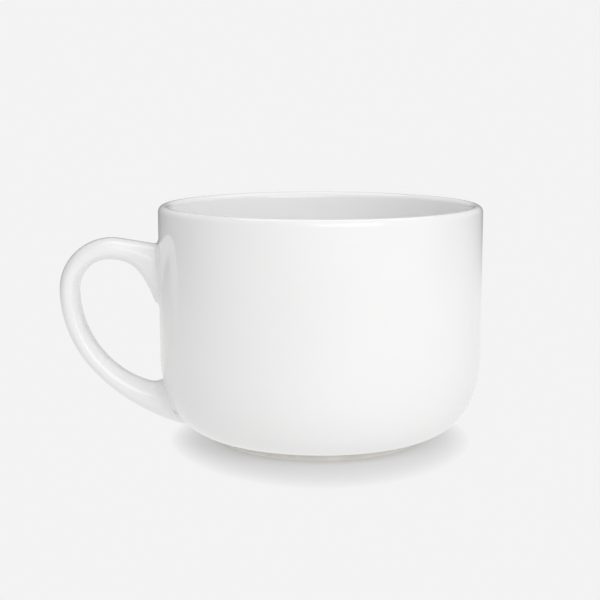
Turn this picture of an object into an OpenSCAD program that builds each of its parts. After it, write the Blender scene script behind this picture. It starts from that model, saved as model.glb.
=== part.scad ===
// Latte mug of glazed ceramic, in millimetres.
// The origin is the centre of the foot ring on the table, +Z is up, the handle points along -X.

/* [Cup] */
// Outside diameter of the glazed wall
cup_d = 105; // [95:1:115]
// Height from the table to the top of the lip
cup_h = 77; // [70:1:90]
// Wall thickness with both coats of glaze
wall_t = 4; // [3:0.5:5]
// Floor thickness with both coats of glaze
floor_t = 5; // [4:0.5:7]
// How far in from the wall the rounded base corner reaches
corner_w = 22.5; // [18:0.5:24]
// How far up the wall the rounded base corner reaches
corner_h = 28; // [22:1:32]
// Fullness of the base corner: 2 is an ellipse, more is squarer
corner_fullness = 2.4; // [2:0.1:3]

/* [Foot ring] */
// Outside diameter of the bare foot ring
foot_d = 66; // [60:1:70]
// Width of the foot ring
foot_w = 4; // [3:0.5:6]
// Height of the foot ring below the floor
foot_h = 2; // [1.5:0.25:3]
// Bevel on both edges of the foot ring
foot_bevel = 0.5; // [0.25:0.05:0.75]

/* [Handle] */
// How far the handle stands out from the wall
handle_reach = 32.6; // [28:0.1:40]
// Height of the handle's top above the table
handle_top = 66.1; // [58:0.1:68]
// Handle thickness at its top, seen from the side
handle_t = 7; // [6:0.1:9]
// Handle thickness along the long sweep, seen from the side
sweep_t = 6.3; // [5:0.1:9]
// Handle width, across the fingers
handle_w = 13; // [10:0.5:16]
// Centreline radius of the upper bend
bend_r = 13.7; // [11:0.1:16]
// Slope of the run from the wall up to the upper bend, in degrees
brow_tilt = 8.8; // [0:0.1:12]
// Lean of the line where the upper bend turns into the long sweep, in degrees
sweep_lean = 0.7; // [-4:0.1:6]
// Height at which the middle of the handle runs level into the base corner
low_root_z = 13.1; // [12:0.1:16]

/* [Handle roots] */
// Extra depth under the handle at the upper root
upper_flare = 12; // [6:0.1:18]
// How far from its tip the upper flare starts
upper_flare_l = 13; // [10:0.5:18]
// Thickness of the blunt tip at the foot of the upper flare
upper_tip_t = 1.1; // [0.5:0.1:2.5]
// Extra depth on the finger side of the lower root
lower_flare_in = 0.9; // [0.5:0.1:4]
// Extra depth on the table side of the lower root
lower_flare_out = 4.2; // [2:0.2:6]
// How far from the wall the lower flare starts
lower_flare_l = 25; // [14:1:30]
// How far the lower flare runs on under the base corner
lower_tuck = 3.5; // [0:0.5:5]
// Extra half width at both roots
root_widen = 1.5; // [0:0.25:3]

/* [Slip and glaze] */
// Thickness of the slip that sticks each root to the wall
slip_t = 0.8; // [0.5:0.1:1.5]
// Radius of the wiped fillet round the upper root and on the table side of the lower root
slip_fillet = 1.2; // [1:0.1:3]
// Radius of the fuller fillet on the finger side of the lower root
low_fillet = 4.5; // [2:0.1:6]
// Thickness of each coat of glaze
glaze_t = 0.25; // [0.2:0.05:0.4]
// Bare clay left between the glaze and the foot ring
bare_margin = 0.8; // [0.4:0.1:1.5]

/* [Hidden] */
$fn = 180;

clay_color = [0.86, 0.82, 0.76];
slip_color = [0.80, 0.76, 0.70];
glaze_color = [0.95, 0.95, 0.95];

// Steps along a base corner and over half a lip
corner_steps = 20;
lip_steps = 8;
// Sides of the handle's section, and sections along each stretch of it
ring_sides = 24;
brow_rings = 10;
bend_rings = 14;
sweep_rings = 22;
level_rings = 3;
// How much the sections crowd towards the roots: 1 is evenly spaced
root_crowding = 1.5;
// Squareness of the handle's oval section: 2 is an ellipse
section_fullness = 2.3;
// How sharply each root's flare fades away from the wall: 1 is a straight slope
upper_flare_curve = 3;
lower_flare_curve = 2;

cup_r = cup_d / 2;
lip_r = wall_t / 2;
floor_z = foot_h + floor_t;
corner_top = foot_h + corner_h;
corner_r = cup_r - corner_w;
foot_r = foot_d / 2;
foot_bore_r = foot_r - foot_w;

// The handle's centreline, in the plane of the handle: the brow runs straight from the wall,
// the bend turns it down, and the sweep carries it round until it runs level into the base
bend_c = [-(cup_r + handle_reach - sweep_t / 2 - bend_r), handle_top - handle_t / 2 - bend_r];
brow_a = 90 - brow_tilt;
turn_a = 180 + sweep_lean;
level_a = 270;
sweep_r = (bend_c.y - low_root_z - bend_r * sin(sweep_lean)) / (1 - sin(sweep_lean));
sweep_c = spoke(bend_c, sweep_r - bend_r, sweep_lean);
brow_end = spoke(bend_c, bend_r, brow_a);
low_wall_r = wall_r(low_root_z);
// Half way between the two roots
root_split_z = (handle_top + low_root_z) / 2;

// The point at a distance and an angle from a centre
function spoke(c, r, a) = c + r * [cos(a), sin(a)];

function reverse(list) = [for (i = [len(list) - 1 : -1 : 0]) list[i]];

// A rounded base corner, from its low inner end to its high outer end, set in by a skin
function corner(w, h, skin) = [
    for (i = [0 : corner_steps])
        let (
            a = 90 * i / corner_steps,
            x = pow(sin(a), 2 / corner_fullness),
            y = pow(cos(a), 2 / corner_fullness)
        )
        [corner_r + w * x, corner_top - h * y] - skin * facing(x, y, w, h)
];

// Half of the rolled lip, between two angles, set in by a skin
function lip(from, to, skin) = [
    for (i = [0 : lip_steps])
        spoke([cup_r - lip_r, cup_h - lip_r], lip_r - skin, from + (to - from) * i / lip_steps)
];

// Outside outline, from the middle of the underside to the top of the lip
function outside(skin) =
    concat([[0, foot_h + skin]], corner(corner_w, corner_h, skin), lip(0, 90, skin));

// Inside outline, from the middle of the floor to the top of the lip
function inside(skin) =
    concat([[0, floor_z - skin]], corner(corner_w - wall_t, corner_h - floor_t, -skin), lip(180, 90, skin));

// How far down the base corner a height is, and how far out the corner reaches there, from 0 to 1
function corner_drop(z) = min(1, max(0, (corner_top - z) / corner_h));
function corner_out(z) = pow(1 - pow(corner_drop(z), corner_fullness), 1 / corner_fullness);

// Radius of the glazed wall at a height, and the direction that it faces there
function wall_r(z) = corner_r + corner_w * corner_out(z);
function wall_normal(z) = facing(corner_out(z), corner_drop(z), corner_w, corner_h);

// The direction that a base corner faces
function facing(x, y, w, h) =
    let (out = [pow(x, corner_fullness - 1) / w, -pow(y, corner_fullness - 1) / h])
    out / norm(out);

// Share of a root's flare at a distance out from where it is 1, fading to 0
function swell(d, reach, curve) = pow(max(0, 1 - d / reach), curve);

// Thickness of the handle where its section faces an angle, thinning evenly from the top of the bend
function thickness(a) =
    handle_t + (sweep_t - handle_t) * min(1, max(0, (a - 90) / (turn_a - 90)));

// How far a fillet of a radius stands out at a distance from the wall
function fillet(d, r) =
    let (e = max(0, r - max(0, d)))
    r - sqrt(r * r - e * e);

function oval(t) = sign(t) * pow(abs(t), 2 / section_fullness);

// Distance of each brow section from the wall: two inside the wall, the rest out to the bend
brow_l = -cup_r - brow_end.x;
brow_at = concat(
    [-wall_t, -slip_t / 2],
    [for (i = [0 : brow_rings - 1]) brow_l * pow(i / brow_rings, root_crowding)]
);

// Centre and outward angle of each section, from inside the wall to inside the base corner.
// The brow's sections are upright at the wall and turn to face along the bend
sections = concat(
    [for (d = brow_at)
        [[-cup_r - d, brow_end.y - (brow_l - d) * tan(brow_tilt)], 90 - brow_tilt * max(0, d) / brow_l]],
    [for (i = [0 : bend_rings - 1])
        let (a = brow_a + (turn_a - brow_a) * i / bend_rings)
        [spoke(bend_c, bend_r, a), a]],
    [for (i = [0 : sweep_rings])
        let (a = level_a - (level_a - turn_a) * pow(1 - i / sweep_rings, root_crowding))
        [spoke(sweep_c, sweep_r, a), a]],
    [for (i = [1 : level_rings])
        [[sweep_c.x - (sweep_c.x + corner_r) * i / level_rings, low_root_z], level_a]]
);

// One section of the handle over a skin: an oval that swells at the roots, with a fillet at the wall
function ring(c, a, skin) =
    let (
        n = [cos(a), sin(a)],
        up = a < turn_a ? swell(max(0, -cup_r - c.x - upper_tip_t), upper_flare_l, upper_flare_curve) : 0,
        low = a < turn_a ? 0 : swell(max(-lower_tuck, -low_wall_r - c.x), lower_flare_l, lower_flare_curve),
        half = thickness(a) / 2 - glaze_t + skin,
        depth_in = half + upper_flare * up + lower_flare_in * low,
        depth_out = half + lower_flare_out * low,
        half_w = handle_w / 2 - glaze_t + skin + root_widen * (up + low),
        mid = c + n * (depth_out - depth_in) / 2,
        depth = (depth_out + depth_in) / 2
    )
    [
        for (j = [0 : ring_sides - 1])
            let (
                u = oval(cos(360 * j / ring_sides)),
                v = oval(sin(360 * j / ring_sides)),
                p = mid + n * depth * u,
                r = a < turn_a ? slip_fillet : low_fillet + (slip_fillet - low_fillet) * (1 + u) / 2,
                f = fillet(norm([p.x, half_w * v]) - wall_r(p.y) + glaze_t - skin, r),
                away = max(0, u * n * wall_normal(p.y)),
                q = mid + n * (depth + f * (1 - away)) * u
            )
            [q.x, (half_w + f) * v, q.y]
    ];

// The whole handle over a skin, with both ends run on into the cup
module handle_sweep(skin) {
    rings = len(sections);
    last = (rings - 1) * ring_sides;
    polyhedron(
        points = [for (s = sections) each ring(s[0], s[1], skin)],
        faces = concat(
            [for (i = [0 : rings - 2], j = [0 : ring_sides - 1])
                let (k = (j + 1) % ring_sides, here = i * ring_sides, next = here + ring_sides)
                each [[here + j, next + j, next + k], [here + j, next + k, here + k]]],
            [for (j = [1 : ring_sides - 2]) [0, j, j + 1]],
            [for (j = [1 : ring_sides - 2]) [last, last + j + 1, last + j]]
        )
    );
}

// The outside of the clay cup as a full block, grown by an offset
module cup_block(grow) {
    skin = glaze_t - grow;
    rotate_extrude() polygon(concat(outside(skin), [[0, cup_h - skin]]));
}

// The slip between the wall and both roots of the handle
module slip_layer() {
    intersection() {
        handle_sweep(0);
        difference() {
            cup_block(slip_t);
            cup_block(0);
        }
    }
}

// A block that holds everything above or below the split between the roots
module root_side(z) {
    translate([-cup_d, -cup_r, z]) cube([cup_d, cup_d, cup_h]);
}

module cup_body() {
    // The foot ring grows out of the middle of the floor
    root_z = floor_z - floor_t / 2;
    color(clay_color) rotate_extrude() {
        polygon(concat(outside(glaze_t), reverse(inside(glaze_t))));
        polygon([
            [foot_bore_r + foot_bevel, 0], [foot_r - foot_bevel, 0], [foot_r, foot_bevel],
            [foot_r, root_z], [foot_bore_r, root_z], [foot_bore_r, foot_bevel],
        ]);
    }
}

module handle() {
    color(clay_color) difference() {
        handle_sweep(0);
        cup_block(slip_t);
    }
}

module upper_slip_joint() {
    color(slip_color) intersection() {
        slip_layer();
        root_side(root_split_z);
    }
}

module lower_slip_joint() {
    color(slip_color) intersection() {
        slip_layer();
        root_side(root_split_z - cup_h);
    }
}

module outer_glaze() {
    color(glaze_color) difference() {
        rotate_extrude() difference() {
            polygon(concat(outside(0), reverse(outside(glaze_t))));
            square([foot_r + bare_margin, corner_top]);
        }
        handle_sweep(glaze_t);
    }
}

module inner_glaze() {
    color(glaze_color) rotate_extrude() polygon(concat(inside(0), reverse(inside(glaze_t))));
}

module handle_glaze() {
    color(glaze_color) difference() {
        handle_sweep(glaze_t);
        handle_sweep(0);
        cup_block(0);
    }
}

module base_glaze() {
    color(glaze_color) translate([0, 0, foot_h]) cylinder(r = foot_bore_r - bare_margin, h = glaze_t);
}

cup_body();
handle();
upper_slip_joint();
lower_slip_joint();
outer_glaze();
inner_glaze();
handle_glaze();
base_glaze();
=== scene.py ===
# Latte mug of white glazed ceramic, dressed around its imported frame, in metres.
# The origin is the centre of the foot ring on the table, +Z is up, the handle points along -X.

import math

import bpy
import numpy as np
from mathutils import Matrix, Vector

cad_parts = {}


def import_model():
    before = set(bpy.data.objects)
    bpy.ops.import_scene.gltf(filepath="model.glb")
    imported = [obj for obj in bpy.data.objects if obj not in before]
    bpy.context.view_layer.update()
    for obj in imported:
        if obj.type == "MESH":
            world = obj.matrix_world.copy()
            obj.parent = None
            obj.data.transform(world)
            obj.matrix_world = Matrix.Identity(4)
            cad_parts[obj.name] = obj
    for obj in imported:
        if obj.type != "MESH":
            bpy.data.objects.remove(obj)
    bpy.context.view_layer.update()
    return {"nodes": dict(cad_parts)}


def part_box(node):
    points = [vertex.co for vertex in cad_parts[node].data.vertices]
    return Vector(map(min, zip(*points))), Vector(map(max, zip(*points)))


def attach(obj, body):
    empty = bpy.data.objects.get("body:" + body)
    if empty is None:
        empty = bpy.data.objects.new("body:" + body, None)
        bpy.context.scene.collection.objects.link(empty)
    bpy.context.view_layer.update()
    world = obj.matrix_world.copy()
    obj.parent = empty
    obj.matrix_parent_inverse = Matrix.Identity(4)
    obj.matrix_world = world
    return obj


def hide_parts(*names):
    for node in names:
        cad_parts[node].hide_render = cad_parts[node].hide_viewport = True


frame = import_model()

# Sizes read from the frame
_, outer_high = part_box("outer_glaze")
inner_low, inner_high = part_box("inner_glaze")
handle_low, handle_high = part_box("handle_glaze")
base_low, base_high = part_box("base_glaze")
CUP_R = outer_high.x
CUP_H = outer_high.z
LIP_R = CUP_R - inner_high.x
FOOT_H = base_low.z
GLAZE_T = base_high.z - base_low.z
FLOOR_Z = inner_low.z + GLAZE_T
BASE_GLAZE_R = base_high.x
HANDLE_REACH = -handle_low.x - CUP_R
HANDLE_TOP = handle_high.z

# Sizes of the cup that the frame's boxes don't give
WALL_T = 2 * LIP_R
FLOOR_T = FLOOR_Z - FOOT_H
CORNER_W = 0.0225
CORNER_H = 0.028
CORNER_FULLNESS = 2.4
CORNER_R = CUP_R - CORNER_W
CORNER_TOP = FOOT_H + CORNER_H
FOOT_R = 0.033
BARE_MARGIN = 0.0008

# Sizes of the handle
HANDLE_T = 0.007
SWEEP_T = 0.0063
HANDLE_W = 0.013
BEND_R = 0.0137
BROW_TILT = math.radians(8.8)
SWEEP_LEAN = math.radians(0.7)
LOW_ROOT_Z = 0.0131
UPPER_FLARE = 0.012
UPPER_FLARE_L = 0.013
UPPER_FLARE_CURVE = 3
UPPER_TIP_T = 0.0011
LOWER_FLARE_IN = 0.0009
LOWER_FLARE_OUT = 0.0042
LOWER_FLARE_L = 0.025
LOWER_FLARE_CURVE = 2
LOWER_TUCK = 0.0035
ROOT_WIDEN = 0.0015
SECTION_FULLNESS = 2.3

# The coat's fillet round the upper root and under the lower one, 0.8 mm over the solids' to hide facets
UPPER_FILLET = 0.002

# The coat's fillet on the finger side of the lower root, larger than the solids' by as much
LOWER_FILLET = 0.0053

# Reach of the soft edge where the handle meets the wall, on its outward side and on its finger side
ROOT_BLEND_OUT = 0.0008
ROOT_BLEND_IN = 0.0004

# Points on the finely drawn outline of the cup: a base corner, and the lip
CORNER_POINTS = 600
LIP_POINTS = 241

# Mesh counts: columns round the cup, and rows along each stretch of its outline
COLUMNS = 192
BASE_ROWS = 3
BETWEEN_ROOTS_ROWS = 10
UNDER_LIP_ROWS = 6
LIP_ROWS = 22
INNER_WALL_ROWS = 18
INNER_CORNER_ROWS = 26
FLOOR_ROWS = 14
COLUMN_ANGLES = np.arange(COLUMNS) * 2 * math.pi / COLUMNS

# The window in the cup's grid at each root, the wall that it leaves round the root, and where it starts
WINDOW_COLUMNS = 20
WINDOW_ROWS = 22
WINDOW_MARGIN = 0.0022
FIRST_COLUMN = (COLUMNS - WINDOW_COLUMNS) // 2
LOWER_ROW = BASE_ROWS
UPPER_ROW = LOWER_ROW + WINDOW_ROWS + BETWEEN_ROOTS_ROWS

# Rings round each root and along the handle, and how fast the handle's rings lose their slant
PATCH_RINGS = 5
BLEND_RINGS = 7
HANDLE_RINGS = 120
SLANT_FADE = 4

# How far within the wall the search for the upper root ends
SEARCH_WITHIN = CUP_R / 8

# Steps of a search for the wall along the handle, and halvings of the last step
SCAN_STEPS = 120
HALVINGS = 24

# The island of glaze under the base: its rounded edge, its rings and its innermost ring
POOL_EDGE_W = 3 * GLAZE_T
POOL_EDGE_RINGS = 7
POOL_FLAT_RINGS = 8
POOL_INNER_R = BASE_GLAZE_R / 12


def joined(*stretches):
    """Stretches of points that each start where the last one ended, as one run."""
    return np.concatenate([stretches[0]] + [s[1:] for s in stretches[1:]])


def spoke(centre, radius, angle):
    """Points at a distance and an angle from a centre."""
    return np.stack([centre[0] + radius * np.cos(angle), centre[1] + radius * np.sin(angle)], -1)


# The outline of the glazed cup, from the bare edge under the base, over the lip, to the floor's middle

def corner(width, height):
    """A rounded base corner, from its low inner end to its high outer end."""
    turn = np.linspace(0, math.pi / 2, CORNER_POINTS)
    out = np.sin(turn) ** (2 / CORNER_FULLNESS)
    down = np.cos(turn) ** (2 / CORNER_FULLNESS)
    return np.stack([CORNER_R + width * out, CORNER_TOP - height * down], -1)


def cup_outline():
    """The outline's points, and which of them ends each stretch of it."""
    outside = corner(CORNER_W, CORNER_H)
    outside = outside[outside[:, 0] >= FOOT_R + BARE_MARGIN]
    lip = spoke((CUP_R - LIP_R, CUP_H - LIP_R), LIP_R, np.linspace(0, math.pi, LIP_POINTS))
    inside = corner(CORNER_W - WALL_T, CORNER_H - FLOOR_T)[::-1]
    parts = [outside, lip, inside, np.array([[0, FLOOR_Z]])]
    ends = np.cumsum([len(p) for p in parts]) - 1
    return np.concatenate(parts), ends


OUTLINE, OUTLINE_ENDS = cup_outline()
STEPS = np.linalg.norm(np.diff(OUTLINE, axis=0), axis=1)
ALONG = np.concatenate([[0], np.cumsum(STEPS)])
LIP_END, INSIDE_END, CENTRE = ALONG[OUTLINE_ENDS[1:]]
LIP_START = ALONG[OUTLINE_ENDS[0] + 1]
INSIDE_START = ALONG[OUTLINE_ENDS[1] + 1]


def wall_point(angle, along):
    """Points on the cup's surface at an angle round the axis and a distance along the outline."""
    radius = np.interp(along, ALONG, OUTLINE[:, 0])
    height = np.interp(along, ALONG, OUTLINE[:, 1])
    return np.stack([radius * np.cos(angle), radius * np.sin(angle), height], -1)


def corner_drop(z):
    """How far down the base corner a height is, from 0 to 1."""
    return np.clip((CORNER_TOP - z) / CORNER_H, 0, 1)


def corner_out(z):
    """How far out the base corner reaches at a height, from 0 to 1."""
    return (1 - corner_drop(z) ** CORNER_FULLNESS) ** (1 / CORNER_FULLNESS)


def wall_radius(z):
    return CORNER_R + CORNER_W * corner_out(z)


def wall_facing(z):
    """How far out and how far down the outside of the cup faces at a height."""
    out = corner_out(z) ** (CORNER_FULLNESS - 1) / CORNER_W
    down = corner_drop(z) ** (CORNER_FULLNESS - 1) / CORNER_H
    return np.stack([out, down]) / np.hypot(out, down)


def wall_normal(points):
    """The direction that the outside of the cup faces at points on it."""
    out, down = wall_facing(points[:, 2])
    angle = np.arctan2(points[:, 1], points[:, 0])
    return np.stack([out * np.cos(angle), out * np.sin(angle), -down], -1)


def place_on_wall(points):
    """The angle and the distance along the outline of the places on the outside nearest to points."""
    angle = np.arctan2(points[:, 1], points[:, 0]) % (2 * math.pi)
    flat = np.stack([np.hypot(points[:, 0], points[:, 1]), points[:, 2]], -1)[:, None]
    # The outside runs on as far as the first point of the lip
    last = OUTLINE_ENDS[0] + 2
    start = OUTLINE[None, : last - 1]
    run = OUTLINE[None, 1:last] - start
    share = np.clip(((flat - start) * run).sum(-1) / (run ** 2).sum(-1), 0, 1)
    gap = np.linalg.norm(start + run * share[..., None] - flat, axis=-1)
    nearest = gap.argmin(1)
    rows = np.arange(len(points))
    return angle, ALONG[nearest] + STEPS[nearest] * share[rows, nearest]


# The handle's centreline: a brow straight from the wall, a bend, a long sweep and a level run to the base

BEND_C = (-(CUP_R + HANDLE_REACH - SWEEP_T / 2 - BEND_R), HANDLE_TOP - HANDLE_T / 2 - BEND_R)
UPRIGHT_A = math.pi / 2
BROW_A = UPRIGHT_A - BROW_TILT
TURN_A = math.pi + SWEEP_LEAN
LEVEL_A = 1.5 * math.pi
SWEEP_R = (BEND_C[1] - LOW_ROOT_Z - BEND_R * math.sin(SWEEP_LEAN)) / (1 - math.sin(SWEEP_LEAN))
SWEEP_C = spoke(BEND_C, SWEEP_R - BEND_R, SWEEP_LEAN)
BROW_END = spoke(BEND_C, BEND_R, BROW_A)
LOW_WALL_R = wall_radius(LOW_ROOT_Z)

# Distances along the centreline from the wall at which each stretch ends
BROW_L = (-CUP_R - BROW_END[0]) / math.cos(BROW_TILT)
BEND_L = BROW_L + BEND_R * (TURN_A - BROW_A)
SWEEP_L = BEND_L + SWEEP_R * (LEVEL_A - TURN_A)
LEVEL_L = SWEEP_L - SWEEP_C[0] - CORNER_R


def centreline(s):
    """The centre and the outward angle of the handle's section at distances along it."""
    angle = np.interp(s, [0, BROW_L, BEND_L, SWEEP_L], [UPRIGHT_A, BROW_A, TURN_A, LEVEL_A])
    brow = spoke(BROW_END, s - BROW_L, math.pi - BROW_TILT)
    level = np.stack([SWEEP_C[0] + (s - SWEEP_L), np.full_like(s, LOW_ROOT_Z)], -1)
    centres = np.stack([brow, spoke(BEND_C, BEND_R, angle), spoke(SWEEP_C, SWEEP_R, angle), level])
    stretch = np.searchsorted([BROW_L, BEND_L, SWEEP_L], s)
    return centres[stretch, np.arange(len(s))], angle


def swell(distance, reach, curve):
    """The share of a root's flare at a distance out from where it is 1, fading to 0."""
    return np.maximum(0, 1 - distance / reach) ** curve


def fillet(gap, radius):
    """How far a fillet of a radius stands out at a distance from the wall."""
    reach = np.maximum(0, radius - np.maximum(0, gap))
    return radius - np.sqrt(radius ** 2 - reach ** 2)


def oval(t):
    return np.sign(t) * np.abs(t) ** (2 / SECTION_FULLNESS)


def handle_point(s, turn):
    """Points on the handle at distances along it and angles round it, and the middles of their sections."""
    centre, angle = centreline(s)
    facing = np.stack([np.cos(angle), np.sin(angle)], -1)
    upper_gap = np.maximum(0, -CUP_R - centre[:, 0] - UPPER_TIP_T)
    lower_gap = np.maximum(-LOWER_TUCK, -LOW_WALL_R - centre[:, 0])
    up = swell(upper_gap, UPPER_FLARE_L, UPPER_FLARE_CURVE) * (s < BEND_L)
    low = swell(lower_gap, LOWER_FLARE_L, LOWER_FLARE_CURVE) * (s >= BEND_L)
    taper = np.clip((angle - UPRIGHT_A) / (TURN_A - UPRIGHT_A), 0, 1)
    half_t = (HANDLE_T + (SWEEP_T - HANDLE_T) * taper) / 2
    depth_in = half_t + UPPER_FLARE * up + LOWER_FLARE_IN * low
    depth_out = half_t + LOWER_FLARE_OUT * low
    half_w = HANDLE_W / 2 + ROOT_WIDEN * (up + low)
    middle = centre + facing * ((depth_out - depth_in) / 2)[:, None]
    across = oval(np.cos(turn))
    side = oval(np.sin(turn))
    edge = middle + facing * ((depth_out + depth_in) / 2 * across)[:, None]
    low_radius = LOWER_FILLET + (UPPER_FILLET - LOWER_FILLET) * (1 + across) / 2
    radius = np.where(s < BEND_L, UPPER_FILLET, low_radius)
    out = fillet(np.hypot(edge[:, 0], half_w * side) - wall_radius(edge[:, 1]), radius)
    away = np.maximum(0, -across * facing[:, 1] * wall_facing(edge[:, 1])[1])
    edge = edge + facing * (out * (1 - away) * across)[:, None]
    point = np.stack([edge[:, 0], (half_w + out) * side, edge[:, 1]], -1)
    return point, np.stack([middle[:, 0], np.zeros_like(s), middle[:, 1]], -1)


def gap_from_wall(points):
    """How far points stand out from the outside of the cup, less than 0 within it."""
    gap = np.linalg.norm(points - wall_point(*place_on_wall(points)), axis=1)
    within = np.hypot(points[:, 0], points[:, 1]) < wall_radius(points[:, 2])
    return np.where(within, -gap, gap)


def find_gap(inside, outside, turn, gap):
    """How far along the handle each line on it first comes within a gap of the wall, from outside in."""
    step = (inside - outside) / SCAN_STEPS
    far = np.full_like(turn, outside)
    near = far + step
    for _ in range(SCAN_STEPS):
        clear = gap_from_wall(handle_point(near, turn)[0]) > gap
        far = np.where(clear, near, far)
        near = np.where(clear, near + step, near)
    for _ in range(HALVINGS):
        half = (near + far) / 2
        clear = gap_from_wall(handle_point(half, turn)[0]) > gap
        far = np.where(clear, half, far)
        near = np.where(clear, near, half)
    return far


def root_rings(inside, outside, turn):
    """A root's soft edge as rings from the wall out, and where it ends on the handle and on the wall."""
    contact, middle = handle_point(find_gap(inside, outside, turn, 0), turn)
    blend = ROOT_BLEND_IN + (ROOT_BLEND_OUT - ROOT_BLEND_IN) * (1 + np.cos(turn)) / 2
    start_s = find_gap(inside, outside, turn, blend)
    start, _ = handle_point(start_s, turn)
    normal = wall_normal(contact)
    outward = contact - middle
    outward = outward - normal * (outward * normal).sum(1, keepdims=True)
    outward = outward / np.linalg.norm(outward, axis=1, keepdims=True)
    angle, along = place_on_wall(contact + blend[:, None] * outward)
    end = wall_point(angle, along)
    share = np.linspace(0, 1, BLEND_RINGS)[:, None, None]
    rings = (1 - share) ** 2 * end + 2 * share * (1 - share) * contact + share ** 2 * start
    return rings, start_s, angle, along


# Shared mesh code

class MeshParts:
    """Points and faces that are gathered ring by ring into one mesh."""

    def __init__(self):
        self.points = []
        self.faces = []

    def add(self, points):
        """Adds points and returns their numbers."""
        first = len(self.points)
        self.points.extend(np.asarray(points).tolist())
        return list(range(first, len(self.points)))

    def bridge(self, ring, next_ring):
        """Joins two closed rings of as many points by four-sided faces."""
        for k in range(len(ring)):
            n = (k + 1) % len(ring)
            self.faces.append((ring[k], ring[n], next_ring[n], next_ring[k]))

    def fan(self, ring, tip):
        """Closes a ring with triangles to a point."""
        for k in range(len(ring)):
            self.faces.append((ring[k], ring[(k + 1) % len(ring)], tip))

    def build(self, name):
        """Makes the smooth mesh object."""
        mesh = bpy.data.meshes.new(name)
        mesh.from_pydata(self.points, [], self.faces)
        mesh.shade_smooth()
        mesh.update()
        shape = bpy.data.objects.new(name, mesh)
        bpy.context.scene.collection.objects.link(shape)
        return shape


# The glaze coat: one skin over the outside, the handle, the lip and the inside

def window_edge():
    """A window's edge points by row and column, and the angle round the handle that each leads to."""
    right = [(0, c) for c in range(WINDOW_COLUMNS)]
    up = [(r, WINDOW_COLUMNS) for r in range(WINDOW_ROWS)]
    left = [(WINDOW_ROWS, c) for c in range(WINDOW_COLUMNS, 0, -1)]
    down = [(r, 0) for r in range(WINDOW_ROWS, 0, -1)]
    edge = np.array(right + up + left + down)
    height = edge[:, 0] / (WINDOW_ROWS / 2) - 1
    side = edge[:, 1] / (WINDOW_COLUMNS / 2) - 1
    return edge, np.arctan2(-side, height)


def cup_rows(lower_along, upper_along):
    """Where the grid's rows lie along the outline: each root's soft edge sets the rows of its window."""
    stretches = [
        (0, BASE_ROWS),
        (lower_along.min() - WINDOW_MARGIN, WINDOW_ROWS),
        (lower_along.max() + WINDOW_MARGIN, BETWEEN_ROOTS_ROWS),
        (upper_along.min() - WINDOW_MARGIN, WINDOW_ROWS),
        (upper_along.max() + WINDOW_MARGIN, UNDER_LIP_ROWS),
        (LIP_START, LIP_ROWS),
        (LIP_END, INNER_WALL_ROWS),
        (INSIDE_START, INNER_CORNER_ROWS),
        (INSIDE_END, FLOOR_ROWS),
        (CENTRE, 0),
    ]
    return joined(*[
        np.linspace(start, end[0], count + 1)
        for (start, count), end in zip(stretches, stretches[1:])
    ])


def in_window(row, column, first):
    """Whether a place in the grid is in a window, by the first row and column that count as in it."""
    in_rows = any(row - start in range(first, WINDOW_ROWS) for start in (LOWER_ROW, UPPER_ROW))
    return in_rows and column - FIRST_COLUMN in range(first, WINDOW_COLUMNS)


def cup_grid(parts, rows):
    """Adds the cup's grid, with the inside of each window left out, and returns its points' numbers."""
    numbers = {}
    for r, along in enumerate(rows[:-1]):
        ring = wall_point(COLUMN_ANGLES, np.full(COLUMNS, along))
        for c in range(COLUMNS):
            if not in_window(r, c, first=1):
                numbers[r, c] = parts.add([ring[c]])[0]
    last = len(rows) - 2
    for r in range(last):
        for c in range(COLUMNS):
            if not in_window(r, c, first=0):
                n = (c + 1) % COLUMNS
                parts.faces.append((numbers[r, c], numbers[r, n], numbers[r + 1, n], numbers[r + 1, c]))
    tip = parts.add([[0, 0, FLOOR_Z]])[0]
    parts.fan([numbers[last, c] for c in range(COLUMNS)], tip)
    return numbers


def patch(parts, numbers, rows, edge, angle, along):
    """Rings on the wall from a window's edge in to the root's soft edge."""
    edge_along = rows[edge[:, 0]]
    edge_angle = COLUMN_ANGLES[edge[:, 1]]
    rings = [[numbers[r, c] for r, c in edge]]
    for share in np.linspace(0, 1, PATCH_RINGS + 2)[1:-1]:
        ring_angle = edge_angle + (angle - edge_angle) * share
        ring_along = edge_along + (along - edge_along) * share
        rings.append(parts.add(wall_point(ring_angle, ring_along)))
    return rings


def handle_rings(parts, upper_s, lower_s, turn):
    """The handle's own rings, crowded towards the roots and slanted there to follow the soft edges."""
    shares = (1 - np.cos(np.linspace(0, math.pi, HANDLE_RINGS + 2)[1:-1])) / 2
    upper_mean = upper_s.mean()
    lower_mean = lower_s.mean()
    rings = []
    for share in shares:
        s = upper_mean + (lower_mean - upper_mean) * share
        upper_slant = (upper_s - upper_mean) * (1 - share) ** SLANT_FADE
        lower_slant = (lower_s - lower_mean) * share ** SLANT_FADE
        rings.append(parts.add(handle_point(s + upper_slant + lower_slant, turn)[0]))
    return rings


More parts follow.
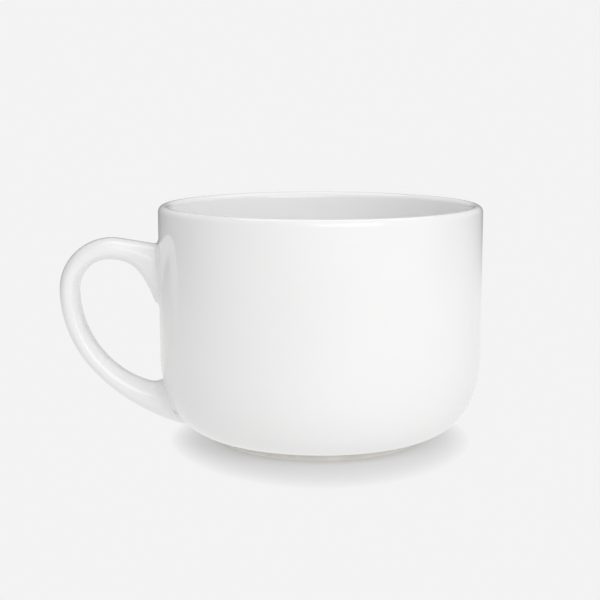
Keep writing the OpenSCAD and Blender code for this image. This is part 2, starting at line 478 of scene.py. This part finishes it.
def glaze_coat():
    parts = MeshParts()
    edge, turn = window_edge()
    upper, upper_s, upper_angle, upper_along = root_rings(-SEARCH_WITHIN, BROW_L, turn)
    lower, lower_s, lower_angle, lower_along = root_rings(LEVEL_L, SWEEP_L - LOWER_FLARE_L, turn)
    rows = cup_rows(lower_along, upper_along)
    numbers = cup_grid(parts, rows)
    tube = handle_rings(parts, upper_s, lower_s, turn)

    # The handle comes back to the wall upside down, so the lower window's rows are taken from its top down
    upper_edge = edge + (UPPER_ROW, FIRST_COLUMN)
    lower_edge = edge * (-1, 1) + (LOWER_ROW + WINDOW_ROWS, FIRST_COLUMN)

    # One chain of rings from the upper window, along the handle, to the lower window
    chain = patch(parts, numbers, rows, upper_edge, upper_angle, upper_along)
    chain += [parts.add(ring) for ring in upper]
    chain += tube
    chain += [parts.add(ring) for ring in lower[::-1]]
    chain += patch(parts, numbers, rows, lower_edge, lower_angle, lower_along)[::-1]
    for ring, next_ring in zip(chain, chain[1:]):
        parts.bridge(ring, next_ring)

    coat = parts.build("glaze_coat")
    skin = coat.modifiers.new("thickness", "SOLIDIFY")
    skin.thickness = GLAZE_T
    skin.offset = -1
    skin.use_even_offset = True
    return coat


# The island of glaze inside the foot ring, with a rounded edge where it pulled back as it melted

def base_glaze_pool():
    parts = MeshParts()
    turn = np.linspace(0, math.pi / 2, POOL_EDGE_RINGS)
    edge_r = BASE_GLAZE_R - POOL_EDGE_W + POOL_EDGE_W * np.cos(turn)
    edge = np.stack([edge_r, base_high.z - GLAZE_T * np.sin(turn)], -1)
    flat_r = np.linspace(BASE_GLAZE_R - POOL_EDGE_W, POOL_INNER_R, POOL_FLAT_RINGS)[1:]
    flat = np.stack([flat_r, np.full_like(flat_r, base_low.z)], -1)
    top = parts.add([[0, 0, base_high.z]])[0]
    rings = []
    for radius, height in joined(edge, flat):
        ring = spoke((0, 0), radius, COLUMN_ANGLES)
        rings.append(parts.add(np.column_stack([ring, np.full(COLUMNS, height)])))
    parts.fan(rings[0], top)
    for ring, next_ring in zip(rings, rings[1:]):
        parts.bridge(next_ring, ring)
    parts.fan(rings[-1][::-1], parts.add([[0, 0, base_low.z]])[0])
    return parts.build("base_glaze_pool")


# Materials

GLAZE_TONES = ((0.87, 0.87, 0.865, 1), (0.90, 0.90, 0.90, 1))
CLAY_TONES = ((0.64, 0.62, 0.58, 1), (0.72, 0.70, 0.66, 1))
SLIP_TONES = ((0.58, 0.56, 0.52, 1), (0.64, 0.62, 0.58, 1))

# The middle range of a noise's values
NOISE_LOW = 0.3
NOISE_HIGH = 0.7


def node_adder(tree):
    """A function that adds nodes to an emptied tree, with their settings made and inputs set or linked."""
    tree.nodes.clear()

    def add(kind, inputs, **settings):
        node = tree.nodes.new(kind)
        for key, value in settings.items():
            setattr(node, key, value)
        for key, value in inputs.items():
            if isinstance(value, bpy.types.NodeSocket):
                tree.links.new(value, node.inputs[key])
            else:
                node.inputs[key].default_value = value
        return node

    return add


def new_material(name):
    material = bpy.data.materials.new(name)
    material.use_nodes = True
    return material, node_adder(material.node_tree)


def calculate(add, operation, first, second):
    return add("ShaderNodeMath", {0: first, 1: second}, operation=operation).outputs[0]


def noise(add, place, scale, detail):
    inputs = {"Vector": place, "Scale": scale, "Detail": detail}
    return add("ShaderNodeTexNoise", inputs).outputs["Fac"]


def spread(add, value, low, high):
    """A noise value's middle range stretched from low to high."""
    inputs = {"Value": value, "From Min": NOISE_LOW, "From Max": NOISE_HIGH, "To Min": low, "To Max": high}
    return add("ShaderNodeMapRange", inputs).outputs["Result"]


def tint(add, share, low, high):
    """A colour between two, by a share: the node's colour inputs are 6 and 7, its colour output is 2."""
    node = add("ShaderNodeMix", {0: share, 6: low, 7: high}, data_type="RGBA")
    return node.outputs[2]


def bump(add, height, distance, below=None):
    inputs = {"Height": height, "Distance": distance, "Strength": 1}
    if below is not None:
        inputs["Normal"] = below
    return add("ShaderNodeBump", inputs).outputs["Normal"]


def glaze_material():
    """White gloss glaze: a hand-poured ripple, fine orange peel, and a faint drift in tone and gloss."""
    material, add = new_material("glaze")
    place = add("ShaderNodeTexCoord", {}).outputs["Object"]
    drift = noise(add, place, scale=45, detail=3)
    ripple = noise(add, place, scale=70, detail=1)
    peel = noise(add, place, scale=700, detail=2)
    relief = bump(add, ripple, distance=0.00012)
    relief = bump(add, peel, distance=0.000006, below=relief)
    inputs = {
        "Base Color": tint(add, drift, *GLAZE_TONES),
        "Roughness": spread(add, drift, low=0.03, high=0.06),
        "IOR": 1.5,
        "Normal": relief,
    }
    shader = add("ShaderNodeBsdfPrincipled", inputs)
    add("ShaderNodeOutputMaterial", {"Surface": shader.outputs["BSDF"]})
    return material


def clay_material(name, tones):
    """Fired bare clay: a sandy grain and a cloudy tone."""
    material, add = new_material(name)
    place = add("ShaderNodeTexCoord", {}).outputs["Object"]
    clouds = noise(add, place, scale=120, detail=4)
    grain = noise(add, place, scale=2600, detail=3)
    inputs = {
        "Base Color": tint(add, spread(add, clouds, low=0, high=1), *tones),
        "Roughness": spread(add, grain, low=0.78, high=0.92),
        "Normal": bump(add, grain, distance=0.00005),
    }
    shader = add("ShaderNodeBsdfPrincipled", inputs)
    add("ShaderNodeOutputMaterial", {"Surface": shader.outputs["BSDF"]})
    return material


def dress(shape, material):
    shape.data.materials.clear()
    shape.data.materials.append(material)


glaze = glaze_material()
clay = clay_material("clay", CLAY_TONES)
slip = clay_material("slip", SLIP_TONES)

coat = glaze_coat()
dress(coat, glaze)
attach(coat, "root")
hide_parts("outer_glaze", "inner_glaze", "handle_glaze")

pool = base_glaze_pool()
dress(pool, glaze)
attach(pool, "root")
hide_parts("base_glaze")

for name in ("cup_body", "handle"):
    dress(frame["nodes"][name], clay)
for name in ("upper_slip_joint", "lower_slip_joint"):
    dress(frame["nodes"][name], slip)


# Stage: a pale floor that melts into a pale backdrop, soft boxes, and a screen that reflections show

BACKDROP = (0.896, 0.896, 0.896, 1)
SOFT_LIGHT = (1, 1, 1, 1)
WORLD_STRENGTH = 0.47

# The floor: its size, tone and strength as a light, and where the mug's shadow fades to the even tone
FLOOR_HALF = 3
FLOOR_COLOUR = (0.75, 0.75, 0.75, 1)
FLOOR_BOUNCE = 0.93
SHADOW_R = 0.035
SHADOW_SIDE = 0.0145
SHADOW_LENGTHEN = 0.5
SHADOW_LIFT = 0.15

# The screen's tones, size and turn to each side, and the places between which its tone changes
SCREEN_TONE = (0.16, 0.16, 0.16, 1)
SCREEN_HIGH_TONE = (0.5, 0.5, 0.5, 1)
SCREEN_R = 0.24
SCREEN_X = 0.07
SCREEN_H = 0.35
SCREEN_TURN = math.radians(130)
SCREEN_POINTS = 73
SCREEN_FADE_Y = (-0.17, 0.02)
SCREEN_FADE_Z = (0.0, 0.06)
SCREEN_EASE_Z = (0.08, 0.16)

# Soft boxes: name, place, width and power
LAMPS = [
    ("key", (0.27, -0.82, 0.42), 0.8, 3.85),
    ("top", (0.0, -0.05, 1.0), 1.4, 2.1),
    ("back", (-0.1, 0.7, 0.7), 1.5, 5.2),
    ("side", (0.9, -0.1, 0.24), 0.7, 0.7),
]


def seen_rays(add):
    """1 for rays that show the backdrop: from the camera, a reflection or through glass."""
    rays = add("ShaderNodeLightPath", {}).outputs
    seen = calculate(add, "MAXIMUM", rays["Is Camera Ray"], rays["Is Glossy Ray"])
    return calculate(add, "MAXIMUM", seen, rays["Is Transmission Ray"])


def floor_material():
    """A floor that takes the mug's shadow near it and is an even pale tone further out."""
    material, add = new_material("floor")
    place = add("ShaderNodeTexCoord", {}).outputs["Object"]
    distance = add("ShaderNodeVectorMath", {0: place}, operation="LENGTH").outputs["Value"]
    along = add("ShaderNodeSeparateXYZ", {0: place}).outputs["Y"]
    front = calculate(add, "POWER", calculate(add, "DIVIDE", along, distance), 2)
    shorten = calculate(add, "SUBTRACT", 1, calculate(add, "MULTIPLY", front, SHADOW_LENGTHEN))
    past = calculate(add, "MULTIPLY", calculate(add, "SUBTRACT", distance, SHADOW_R), shorten)
    share = add("ShaderNodeMapRange", {"Value": past, "From Max": SHADOW_SIDE}).outputs["Result"]
    inputs = {"Value": calculate(add, "POWER", share, 2), "To Min": SHADOW_LIFT}
    shadow = add("ShaderNodeMapRange", inputs).outputs["Result"]
    bounced = calculate(add, "SUBTRACT", 1, add("ShaderNodeLightPath", {}).outputs["Is Camera Ray"])
    far = calculate(add, "MAXIMUM", shadow, bounced)
    near = add("ShaderNodeBsdfDiffuse", {"Color": FLOOR_COLOUR})
    inputs = {"Value": seen_rays(add), "To Min": FLOOR_BOUNCE}
    strength = add("ShaderNodeMapRange", inputs).outputs["Result"]
    glow = add("ShaderNodeEmission", {"Color": BACKDROP, "Strength": strength})
    mix = add("ShaderNodeMixShader", {0: far, 1: near.outputs[0], 2: glow.outputs[0]})
    add("ShaderNodeOutputMaterial", {"Surface": mix.outputs[0]})
    return material


def floor():
    parts = MeshParts()
    corners = [(-1, -1, 0), (1, -1, 0), (1, 1, 0), (-1, 1, 0)]
    parts.faces.append(parts.add(FLOOR_HALF * np.array(corners)))
    panel = parts.build("floor")
    dress(panel, floor_material())


def screen_material():
    """A tone that darkens back from the open front and up from the floor, and eases off above the mug."""
    material, add = new_material("dark_screen")
    place = add("ShaderNodeTexCoord", {}).outputs["Object"]
    axes = add("ShaderNodeSeparateXYZ", {0: place}).outputs

    def fade(axis, start, end):
        inputs = {"Value": axes[axis], "From Min": start, "From Max": end}
        return add("ShaderNodeMapRange", inputs, interpolation_type="SMOOTHSTEP").outputs["Result"]

    share = calculate(add, "MULTIPLY", fade("Y", *SCREEN_FADE_Y), fade("Z", *SCREEN_FADE_Z))
    dark = tint(add, fade("Z", *SCREEN_EASE_Z), SCREEN_TONE, SCREEN_HIGH_TONE)
    tone = tint(add, share, BACKDROP, dark)
    glow = add("ShaderNodeEmission", {"Color": tone, "Strength": 1})
    add("ShaderNodeOutputMaterial", {"Surface": glow.outputs[0]})
    return material


def screen():
    """A studio wall round the back and sides, open at the front, which only reflections show."""
    parts = MeshParts()
    turn = math.pi / 2 + np.linspace(-SCREEN_TURN, SCREEN_TURN, SCREEN_POINTS)
    low = np.column_stack([spoke((SCREEN_X, 0), SCREEN_R, turn), np.zeros_like(turn)])
    low_ring = parts.add(low)
    high_ring = parts.add(low + (0, 0, SCREEN_H))
    for k in range(len(turn) - 1):
        parts.faces.append((low_ring[k], low_ring[k + 1], high_ring[k + 1], high_ring[k]))
    wall = parts.build("screen")
    dress(wall, screen_material())
    wall.visible_camera = False
    wall.visible_diffuse = False
    wall.visible_shadow = False


def lamp(name, place, width, power):
    """A square soft box that faces the middle of the mug."""
    light = bpy.data.lights.new(name, "AREA")
    light.size = width
    light.energy = power
    box = bpy.data.objects.new(name, light)
    box.location = place
    away = Vector(place) - Vector((0, 0, CUP_H / 2))
    box.rotation_euler = away.to_track_quat("Z", "Y").to_euler()
    bpy.context.scene.collection.objects.link(box)


def world():
    """Even soft light from all round, with the backdrop's tone where it is seen."""
    scene_world = bpy.data.worlds.new("studio")
    scene_world.use_nodes = True
    add = node_adder(scene_world.node_tree)
    soft = add("ShaderNodeBackground", {"Color": SOFT_LIGHT, "Strength": WORLD_STRENGTH})
    seen = add("ShaderNodeBackground", {"Color": BACKDROP, "Strength": 1})
    mix = add("ShaderNodeMixShader", {0: seen_rays(add), 1: soft.outputs[0], 2: seen.outputs[0]})
    add("ShaderNodeOutputWorld", {"Surface": mix.outputs[0]})
    bpy.context.scene.world = scene_world


floor()
screen()
for lamp_values in LAMPS:
    lamp(*lamp_values)
world()


# Camera at the photograph's viewing angle

PHOTO_SIZE = 600
FOCAL_PIXELS = 1458
SENSOR_WIDTH = 36
CLIP_START = 0.01
CAMERA_PLACE = (-0.006586, -0.4725, 0.119028)
LOOK_DOWN = math.radians(8.848)


def camera():
    lens = bpy.data.cameras.new("camera")
    lens.sensor_width = SENSOR_WIDTH
    lens.lens = FOCAL_PIXELS / PHOTO_SIZE * SENSOR_WIDTH
    lens.clip_start = CLIP_START
    eye = bpy.data.objects.new("camera", lens)
    eye.location = CAMERA_PLACE
    eye.rotation_euler = (math.pi / 2 - LOOK_DOWN, 0, 0)
    bpy.context.scene.collection.objects.link(eye)
    bpy.context.scene.camera = eye


camera()
bpy.context.scene.view_settings.view_transform = "Standard"
